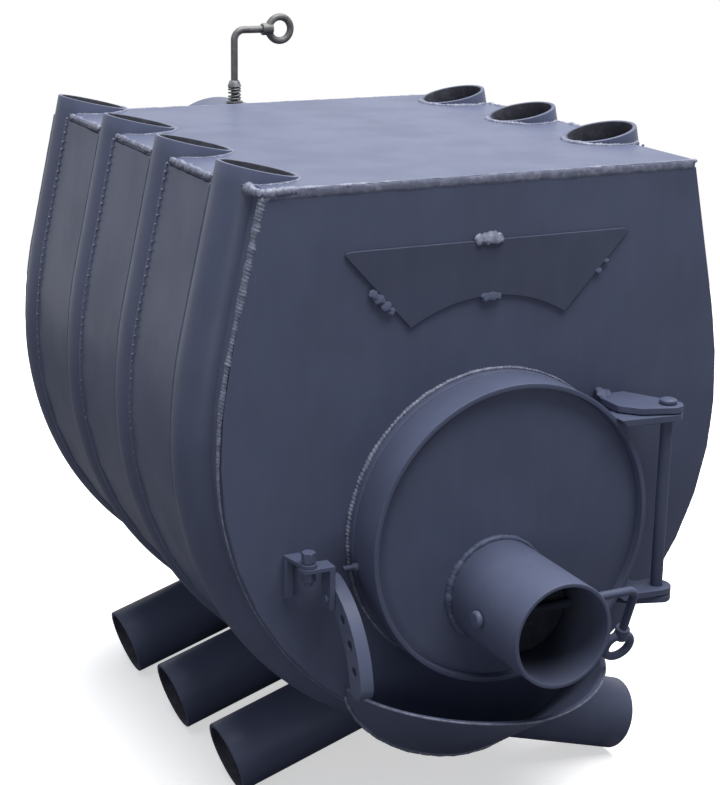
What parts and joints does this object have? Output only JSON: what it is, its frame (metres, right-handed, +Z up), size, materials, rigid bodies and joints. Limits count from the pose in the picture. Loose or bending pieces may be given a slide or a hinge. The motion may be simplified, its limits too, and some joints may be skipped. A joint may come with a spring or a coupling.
{
  "type": "air-heating wood stove",
  "caption": "Steel wood stove of bent heating tubes welded round a rounded firebox, with a round hinged door, air pipe, ash lip and flue pipe with a damper.",
  "frame": {"origin": "On the floor under the tubes' lower ends, midway between the stove's sides and midway between the air pipe's mouth and the flue pipe's end.", "axes": "+X to the viewer's right, +Y from the door towards the flue, +Z up"},
  "size_m": [0.436, 0.632, 0.5558],
  "materials": {
    "paint": "satin heat-resistant paint, blue grey",
    "bare_steel": "plain steel fasteners, dulled",
    "scaled_steel": "unpainted steel with mill scale, matt",
    "rope": "braided glass-fibre sealing rope"
  },
  "bodies": {
    "stove": {"left_tube_1": "paint", "left_tube_2": "paint", "left_tube_3": "paint", "left_tube_4": "paint", "right_tube_1": "paint", "right_tube_2": "paint", "right_tube_3": "paint", "front_plate": "paint", "back_plate": "paint", "top_plate": "paint", "left_strip_front": "paint", "left_strip_1": "paint", "left_strip_2": "paint", "left_strip_3": "paint", "right_strip_front": "paint", "right_strip_1": "paint", "right_strip_2": "paint", "right_strip_rear": "paint", "baffle_plate": "scaled_steel", "baffle_rail_left": "scaled_steel", "baffle_rail_right": "scaled_steel", "injector_left": "scaled_steel", "injector_right": "scaled_steel", "badge_plate": "paint", "ash_lip": "paint", "door_frame": "paint", "frame_lug_upper": "paint", "frame_lug_lower": "paint", "hinge_rod": "bare_steel", "latch_post": "paint", "latch_tongue": "paint", "latch_bolt": "bare_steel", "latch_nut": "bare_steel", "flue_pipe": "paint", "flue_washer": "bare_steel", "flue_spring": "bare_steel"},
    "door": {"door_rim": "paint", "door_disc": "paint", "door_seal_ring": "scaled_steel", "door_seal": "rope", "door_shield": "scaled_steel", "door_spacer_1": "scaled_steel", "door_spacer_2": "scaled_steel", "door_spacer_3": "scaled_steel", "door_spacer_4": "scaled_steel", "door_lug_upper": "paint", "door_lug_lower": "paint", "catch_rod": "paint", "air_pipe": "paint"},
    "latch_arm": {"latch_swivel": "paint", "latch_pin": "bare_steel"},
    "latch_lever": {"latch_handle": "paint"},
    "air_damper": {"air_damper_disc": "scaled_steel", "air_damper_rod": "paint", "air_damper_screw": "bare_steel"},
    "flue_damper": {"flue_damper_disc": "scaled_steel", "flue_damper_rod": "paint", "flue_cone": "bare_steel"}
  },
  "joints": [
    {"name": "door_hinge", "type": "hinge", "parent": "stove", "child": "door", "pos_m": [0.13, -0.232, 0.2354], "axis": [0, 0, 1], "range_deg": [0, 140]},
    {"name": "latch_swing", "type": "hinge", "parent": "stove", "child": "latch_arm", "pos_m": [-0.147, -0.213, 0.2282], "axis": [0, 0, 1], "range_deg": [-90, 0]},
    {"name": "latch_lift", "type": "hinge", "parent": "latch_arm", "child": "latch_lever", "pos_m": [-0.1245, -0.2147, 0.2044], "axis": [1, 0, 0], "range_deg": [-70, 0]},
    {"name": "air_damper_turn", "type": "hinge", "parent": "door", "child": "air_damper", "pos_m": [-0.005, -0.268, 0.1941], "axis": [1, 0, 0], "range_deg": [-90, 0]},
    {"name": "flue_damper_turn", "type": "hinge", "parent": "stove", "child": "flue_damper", "pos_m": [0, 0.272, 0.4171], "axis": [0, 0, 1], "range_deg": [0, 90]}
  ]
}
